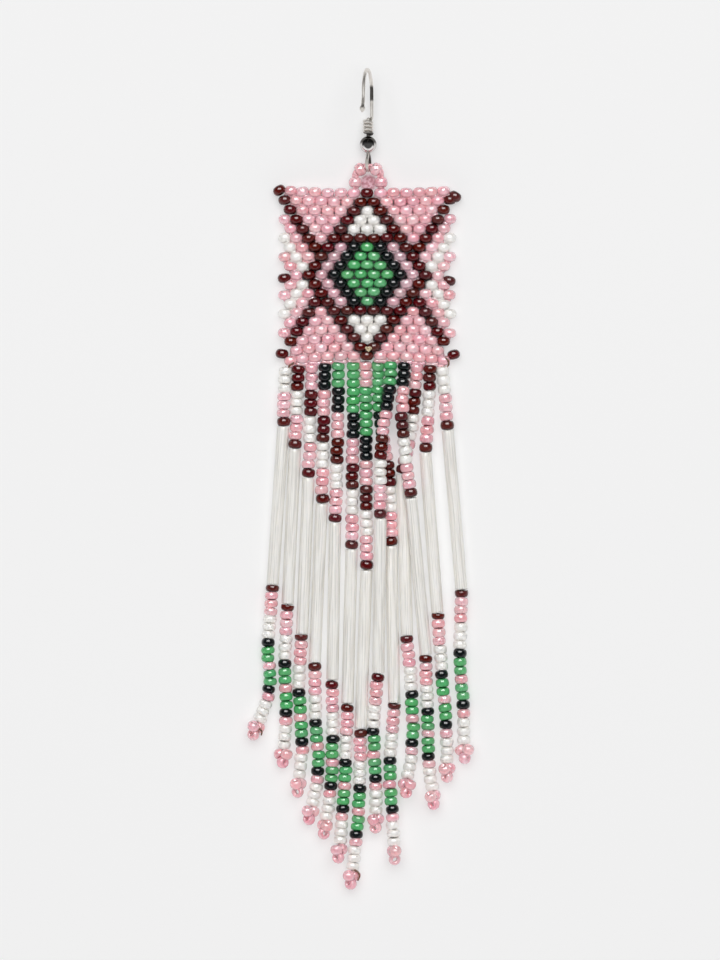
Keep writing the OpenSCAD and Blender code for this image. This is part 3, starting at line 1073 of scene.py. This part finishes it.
@dataclass
class Fringe:
    """The thirteen strands, with the way that each lies on the table.

    A row is (upper beads, share of the first lower bead that is left, turn of the picot in degrees,
    place across where it starts, points down to the bugle, points from the bugle to the tip). A
    point is (across, up) from the panel's middle, and has a height too where it is off the table.
    """

    finishes: Finishes
    rng: Random
    panel: Panel
    rows: tuple[tuple[Any, ...], ...] = (
        (7, 0.9, 60, -15.3, ((-15.7, -28.4),),
         ((-17.7, -58.2), (-18.5, -69.6), (-18.5, -78.4), (-21.7, -87.3))),
        (10, 0.7, -52, -12.8, ((-13.2, -25), (-13.5, -32.6)),
         ((-14.9, -61.9), (-15.4, -73.3), (-15.2, -82.5), (-15.9, -92.6))),
        (13, 0.68, 66, -10.3, ((-10.6, -25), (-11, -38)),
         ((-12.2, -67.5), (-12.8, -77.8), (-12.2, -87.2), (-13.1, -98.1))),
        (16, 1, 58, -7.9, ((-8.1, -25), (-8.5, -42.8)),
         ((-9.8, -72.7), (-9.6, -84.3), (-9.2, -93.2), (-11.1, -103.2))),
        (19, 1, -70, -5.3, ((-5.4, -25), (-6, -46.4)),
         ((-6.5, -76.1), (-6.5, -87.1), (-6.8, -96), (-8.3, -105.9))),
        (22, 1, 62, -2.6, ((-2.6, -25), (-2.9, -51.4)),
         ((-3.7, -80.5), (-4, -91.4), (-4.5, -99.9), (-5.5, -110.3, 2.9))),
        (25, 1, 58, -0.25, ((-0.2, -25), (-0.1, -55.2)),
         ((-1.2, -85.2), (-1.4, -96), (-2, -104.8), (-3.2, -115.3))),
        (22, 0.66, -76, 2.1, ((2.1, -20), (2.3, -26.3), (4, -36.7), (4.5, -50.8)),
         ((5.1, -80.4), (4.3, -91.6), (4.7, -101, 2), (5.2, -110.7, 1.6))),
        (19, 1, 64, 4.5, ((4.35, -20.5, 3), (3.6, -25.6, 3.6), (2.5, -34.6, 3.7), (2.5, -45.6, 3.4)),
         ((2.1, -74.7, 2.1), (1.2, -85, 1.4), (1.6, -94.3), (1.6, -104.8))),
        (16, 1, 68, 6.95, ((6.7, -22, 3), (6.5, -26, 3.5), (7.1, -33.2, 3.7), (8.2, -41.7, 3.3)),
         ((11, -71.3), (11.3, -82.3), (11.5, -90.9), (12.6, -100.4))),
        (13, 0.85, -56, 9.35, ((8.7, -24.9), (8.1, -29.8), (6.5, -37.3)),
         ((7.5, -67.7), (8.4, -79.4), (8.4, -88.1), (7.1, -98.1, 3))),
        (10, 0.72, 62, 11.75, ((11.5, -25), (10.9, -33.3)),
         ((13.2, -63.5), (14, -75.2), (14.8, -84.4), (15, -95.3))),
        (7, 0.74, -48, 14.1, ((15.1, -29.1),),
         ((17.7, -59.2), (17.4, -71.7), (18, -80.5), (18.3, -91.8))),
    )

    def build(self) -> None:
        """Builds every strand, from left to right."""
        for number, row in enumerate(self.rows, 1):
            Strand(self.finishes, self.rng, self.panel, number, *row).build()


@dataclass
class EarWire:
    """The fish-hook ear wire with its eye, coil and ball, leaning to the left."""

    finishes: Finishes
    wire_r: float = 0.33
    eye_r: float = 1.45
    eye_angles: tuple[float, float] = (62.0, -240.0)
    ball_r: float = 1.6
    hole_r: float = 0.39
    coil_r: float = 0.67
    coil_turns: int = 5
    coil_angles: tuple[float, float] = (-1530.0, -70.0)
    coil_up: float = 4.99
    bend_up: float = 12.9
    bend_r: float = 4.25
    tail_drop: float = 0.4
    tail_bend_r: float = 3.0
    tail_bend: float = 25.0
    tail_tip: float = 1.8
    tip_ball_r: float = 0.55
    lean: float = 10.5
    foot: tuple[float, float, float] = (0.2, 20.9, 1.78)

    def turned(self, v: Floats) -> Floats:
        """Turns directions of the wire's own frame about Y by its lean."""
        a = np.radians(self.lean)
        x, y, z = np.moveaxis(v, -1, 0)
        return np.stack([x * np.cos(a) - z * np.sin(a), y, x * np.sin(a) + z * np.cos(a)], -1)

    def placed(self, p: Floats) -> Floats:
        """Turns points of the wire's own frame and sets them on the table."""
        return self.turned(p) + self.foot + PANEL_MIDDLE

    def core(self) -> Floats:
        """Path of the eye, a turn of 302 degrees, and of the straight wire through ball and coil.

        Returns:
            Its points in the wire's own frame.
        """
        a = np.radians(np.linspace(*self.eye_angles, 72))
        eye = self.eye_r * stacked(0, np.sin(a), np.cos(a))
        neck = np.array([0, self.eye_r + 0.38, 0])
        link = bridge(eye[-1], unit(eye[-1] - eye[-2]) * 0.9, neck, np.array([0, 0.7, 0]), 10)
        top = self.coil_up + (self.coil_turns - 0.2) * 2 * self.wire_r
        return np.vstack([eye, link, stacked(0, np.linspace(neck[1], top, 16), 0)])

    def hook(self) -> tuple[Floats, Floats, Floats]:
        """Path of the coil, (R cos a, up with a, R sin a), the leg, the bend and the free end.

        Returns:
            Its points, the side direction at each and the wire's radius at each.
        """
        x = self.coil_r
        a = np.radians(np.linspace(*self.coil_angles, 150))
        climb = self.coil_up + self.wire_r + 2 * self.wire_r * (a - a[0]) / (2 * np.pi)
        coil = stacked(x * np.cos(a), climb, x * np.sin(a))
        foot = np.array([x, coil[-1, 1] + 0.75, 0.0])
        turn_in = bridge(coil[-1], unit(coil[-1] - coil[-2]) * 0.9, foot, np.array([0, 0.8, 0]), 12)
        leg = stacked(x, np.linspace(foot[1], self.bend_up, 14)[:-1], 0)
        b = np.radians(np.linspace(0, 180, 56))
        bend = stacked(x, self.bend_up + self.bend_r * np.sin(b), self.bend_r - self.bend_r * np.cos(b))
        e = np.radians(np.linspace(0, self.tail_bend, 10))
        flare_y = self.bend_up - self.tail_drop - self.tail_bend_r * np.sin(e)
        flare = stacked(x, flare_y, 2 * self.bend_r + self.tail_bend_r * (1 - np.cos(e)))
        joint = self.tail_tip - np.sqrt(self.tip_ball_r**2 - self.wire_r**2)
        g = np.linspace(np.arcsin(self.wire_r / self.tip_ball_r), np.pi - 0.6, 12)[1:]
        knob = self.tail_tip - self.tip_ball_r * np.cos(g)
        reach = np.concatenate([np.linspace(0, joint, 8)[1:], knob])[:, None]
        end = flare[-1] + np.array([0, -np.cos(e[-1]), np.sin(e[-1])]) * reach
        points = np.vstack([coil, turn_in, leg, bend, flare, end])
        out = stacked(np.cos(a), 0, np.sin(a))
        sides = np.vstack([out, np.tile(RIGHT, (len(points) - len(coil), 1))])
        radii = np.concatenate([np.full(len(points) - len(g), self.wire_r), self.tip_ball_r * np.sin(g)])
        return points, sides, radii

    def add_ball(self, skin: Skin) -> None:
        """Adds the ball: a circle's outline turned round, with a rolled lip at each mouth.

        Args:
            skin: the mesh that gets it.
        """
        mouth = np.arcsin((self.hole_r + 0.1) / self.ball_r)
        f = np.linspace(mouth, np.pi - mouth, 25)
        edge = self.ball_r * np.cos(mouth) - 0.02
        lip_r = self.hole_r + np.array([0.03, 0.0, 0.0, 0.03])
        lip_y = [-edge, -edge + 0.12, edge - 0.12, edge]
        r = np.concatenate([self.ball_r * np.sin(f), lip_r])[:, None]
        y = np.concatenate([self.ball_r * np.cos(f), lip_y])[:, None] + self.eye_r + self.wire_r + self.ball_r
        a = circle(40)
        grid = self.placed(stacked(r * np.cos(a), y, r * np.sin(a)))
        skin.add_grid(grid, stacked(np.cos(a)[None], np.sin(a)[None], y), True)

    def build(self) -> None:
        """Builds and dresses the ear wire and its ball."""
        wire, ball = Skin(), Skin()
        add_tube(wire, self.placed(self.core()), self.wire_r, self.turned(RIGHT), 16)
        points, sides, radii = self.hook()
        add_tube(wire, self.placed(points), radii, self.turned(sides), 16)
        wire.make("ear_wire_bent", [self.finishes.wire], "silver_wire", "ear_wire")
        self.add_ball(ball)
        ball.make("hook_ball_shell", [self.finishes.ball], "silver_ball", "hook_ball")


@dataclass
class Neck:
    """The four beads and the thread that hold the eye to the panel."""

    finishes: Finishes
    rng: Random
    hook: EarWire
    slope: float = 30.0
    slope_bead: tuple[float, float] = (1.5, 19.65)
    neck_z: float = 1.9
    side_bead: Point = (2.4, 17.2, 2.0)
    side_low: Point = (2.4, 16.25, 2.1)
    side_high: Point = (2.4, 18.15, 1.95)
    bead_out: float = 0.905
    bundle_r: float = 0.36
    ply_r: float = 0.3
    ply_phases: Point = (0.0, 2.1, 4.2)
    twist: float = 0.7

    def sloping(self, side: int, along: float) -> Floats:
        """A point of a sloping bead's hole.

        Args:
            side: -1 for the left bead and 1 for the right one.
            along: distance from the bead's middle, outwards.

        Returns:
            The point, from the panel's middle.
        """
        t, a = np.radians(self.slope), np.radians(self.hook.lean)
        x = side * (self.slope_bead[0] + along * np.cos(t))
        y = self.slope_bead[1] - along * np.sin(t)
        return np.array([self.hook.foot[0] + x * np.cos(a), y, self.neck_z + x * np.sin(a)])

    def mirrored(self, p: Point, side: int) -> Floats:
        """A point on one side of the eye, from the panel's middle."""
        return np.array([self.hook.foot[0] + side * p[0], p[1], p[2]])

    def half_way(self, side: int) -> list[Floats]:
        """Returns the corners of the thread's way up one side, from the panel to under the eye."""
        upright = [self.mirrored(p, side) for p in (self.side_low, self.side_high)]
        return upright + [self.sloping(side, along) for along in (self.bead_out, -self.bead_out)]

    def build(self) -> None:
        """Builds and dresses the four beads and the thread."""
        way = np.array(self.half_way(-1) + self.half_way(1)[::-1]) + PANEL_MIDDLE
        uprights = [self.mirrored(self.side_bead, side) for side in (-1, 1)]
        centres = np.array([uprights[0], self.sloping(-1, 0), self.sloping(1, 0), uprights[1]])
        holes = unit(way[1::2] - way[0::2])
        shape = BeadShape(sides=16, fullness=0.75)
        for k, centre in enumerate(centres + PANEL_MIDDLE):
            skin = Skin()
            shape.add(skin, centre[None], holes[k], 1.09, 1.14, shades_of("P"), self.rng)
            name = f"neck_bead_glass_{k + 1}"
            skin.make(name, self.finishes.bead_slots, "seed_beads", f"neck_bead_{k + 1}")
        line = Way(smooth_curve(way, 12))
        at = np.linspace(0, line.length, 90)
        side = unit(np.cross(line.heading(at), UP))
        skin = Skin()
        for phase in self.ply_phases:
            turn = (phase + at * self.twist)[:, None]
            path = line.at(at) + self.bundle_r * (np.cos(turn) * side + np.sin(turn) * UP)
            add_tube(skin, path, self.ply_r, UP, 8)
        skin.make("neck_thread_twist", [self.finishes.rose_thread], "thread", "neck_thread")


@dataclass
class LooseEnds:
    """Ends of thread and a small knot that show between the beads."""

    finishes: Finishes
    ends: tuple[tuple[Point, ...], ...] = (
        ((14.6, -15.6, 2.2), (15.1, -16.1, 2.35), (15.3, -16.8, 2.0), (15.0, -17.3, 1.7)),
        ((-13.8, -16.6, 2.2), (-14.3, -16.9, 2.4), (-14.7, -17.4, 2.1), (-14.6, -17.9, 1.8)),
        ((-20.7, -84.9, 2.5), (-20.1, -85.1, 2.6), (-19.7, -85.6, 2.4), (-19.8, -86.2, 2.0)),
        ((-2.3, -111.5, 2.5), (-1.7, -111.9, 2.6), (-1.4, -112.6, 2.4), (-1.7, -113.4, 2.0)),
    )
    knot_place: Point = (0.24, -13.95, 3.35)
    knot_size: Point = (0.2, 0.14, 0.16)
    knot_thread_r: float = 0.13

    def build(self) -> None:
        """Builds and dresses the ends of brown thread and the pale knot, which is
        (sin a + 2 sin 2a, cos a - 2 cos 2a, -sin 3a) times its size."""
        tails, knot = Skin(), Skin()
        for end in self.ends:
            path = smooth_curve(end, 8) + PANEL_MIDDLE
            add_tube(tails, path, np.linspace(0.2, 0.15, len(path)), UP, 8)
        tails.make("thread_ends_brown", [self.finishes.thread], "thread")
        a = np.linspace(0, 2 * np.pi, 60)
        trefoil = stacked(np.sin(a) + 2 * np.sin(2 * a), np.cos(a) - 2 * np.cos(2 * a), -np.sin(3 * a))
        path = trefoil * self.knot_size + self.knot_place + PANEL_MIDDLE
        add_tube(knot, path, self.knot_thread_r, UP + [0.3, 0.2, 0.0], 8)
        knot.make("thread_knot_pale", [self.finishes.pale_thread], "thread")


@dataclass
class Studio:
    """Pale glowing table, soft light from above, lamps for the sparkle, and the camera."""

    table_shade: tuple[float, float, float] = (242, 242, 242)
    table_reach: float = 3000.0
    overhead: float = 0.1
    near_side: float = 1.1
    far_side: float = 0.06
    soft_light: float = 2.3
    sparkle: float = 14.0
    wire_light: float = 0.82
    field: float = 180.0
    distance: float = 1200.0

    def build_table(self) -> None:
        """Builds the plain pale table as a large flat grid."""
        lines = np.linspace(-self.table_reach, self.table_reach, 9) * MM
        points = stacked(*np.meshgrid(lines, lines), 0).reshape(-1, 3)
        at = np.arange(81).reshape(9, 9)
        quads = np.stack([at[:-1, :-1], at[:-1, 1:], at[1:, 1:], at[1:, :-1]], -1).reshape(-1, 4)
        mesh = bpy.data.meshes.new("table_top")
        mesh.from_pydata(points.tolist(), [], quads.tolist())
        mesh.materials.append(PaleTable("table_pale").make())
        table = bpy.data.objects.new("table_top", mesh)
        bpy.context.scene.collection.objects.link(table)

    def build_world(self) -> None:
        """Surrounds the scene with what its gloss mirrors: dark overhead and beyond the ear wire,
        and bright low down on the fringe's side. The camera sees the table's own shade instead."""
        world = bpy.data.worlds.new("studio")
        bpy.context.scene.world = world
        world.use_nodes = True
        graph = Graph(world.node_tree)
        _, y, z = graph.parts(graph.place("Generated"))
        side = graph.ramp(y, -0.5, 0.0, (self.near_side, self.far_side))
        low = graph.ramp(z, 0.4, 0.62, (1.0, 0.0))
        rise = graph.times(graph.math("SUBTRACT", side, self.overhead), low)
        level = graph.math("ADD", rise, self.overhead)
        seen = graph.add("ShaderNodeLightPath")["Is Camera Ray"]
        pale = graph.times(seen, srgb(*self.table_shade)[0])
        hidden = graph.times(level, graph.math("SUBTRACT", 1.0, seen))
        strength = graph.math("ADD", hidden, pale)
        graph.put(world.node_tree.nodes["Background"], {"Color": (1, 1, 1, 1), "Strength": strength})

    def hang_lamp(
        self, name: str, elevation: float, away: float, size: tuple[float, float], brightness: float
    ) -> bpy.types.Object:
        """Hangs a rectangular lamp beyond the ear wire, facing the earring.

        Args:
            name: the lamp's name.
            elevation: its height over the table, in degrees.
            away: its distance, in millimetres.
            size: its width and height, in millimetres.
            brightness: the brightness of its face, where a lit white table has 1.

        Returns:
            The lamp.
        """
        data = bpy.data.lights.new(name, "AREA")
        data.shape = "RECTANGLE"
        data.size, data.size_y = size[0] * MM, size[1] * MM
        data.energy = brightness * np.pi * data.size * data.size_y
        lamp = bpy.data.objects.new(name, data)
        up = np.radians(elevation)
        lamp.location = (0.0, away * MM * np.cos(up), away * MM * np.sin(up))
        lamp.rotation_euler = (up - np.pi / 2, 0.0, 0.0)
        lamp.visible_camera = False
        bpy.context.scene.collection.objects.link(lamp)
        return lamp

    def build_sparkle(self) -> None:
        """Hangs a lamp that shows only in the gloss of the glass, and one that shows only in that
        of the wire."""
        strip = self.hang_lamp("lamp_strip", 57.0, 900.0, (900.0, 540.0), self.sparkle)
        over = self.hang_lamp("lamp_over", 84.0, 1000.0, (3200.0, 1500.0), self.wire_light)
        for lamp, slots in ((strip, GLASS_SLOTS), (over, ("silver_wire",))):
            lamp.visible_diffuse = False
            group = bpy.data.collections.new(f"{lamp.name}_pieces")
            for piece in bpy.data.objects:
                if piece.get("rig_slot") in slots:
                    group.objects.link(piece)
            lamp.light_linking.receiver_collection = group

    def build_camera(self) -> None:
        """Places the camera straight above the earring, as in the photograph."""
        data = bpy.data.cameras.new("camera")
        data.sensor_width = 36.0
        data.lens = data.sensor_width * self.distance / self.field
        camera = bpy.data.objects.new("camera", data)
        camera.location = (0.0, 0.0, self.distance * MM)
        bpy.context.scene.collection.objects.link(camera)
        bpy.context.scene.camera = camera
        bpy.context.scene.view_settings.view_transform = "Standard"

    def build(self) -> None:
        """Builds the camera, the table and the light, with a wide soft lamp that shows in no gloss."""
        self.build_camera()
        self.build_table()
        self.build_world()
        soft = self.hang_lamp("lamp_soft", 72.0, 2000.0, (2400.0, 2400.0), self.soft_light)
        soft.visible_glossy = False


def main() -> None:
    """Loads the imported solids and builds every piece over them."""
    logging.basicConfig(level=logging.INFO, format="%(message)s")
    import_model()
    rng = np.random.default_rng(11)
    studio = Studio()
    studio.build()
    finishes = Finishes()
    panel = Panel(finishes, rng)
    panel.build()
    hook = EarWire(finishes)
    hook.build()
    Neck(finishes, rng, hook).build()
    Fringe(finishes, rng, panel).build()
    LooseEnds(finishes).build()
    studio.build_sparkle()


if __name__ == "__main__":
    main()
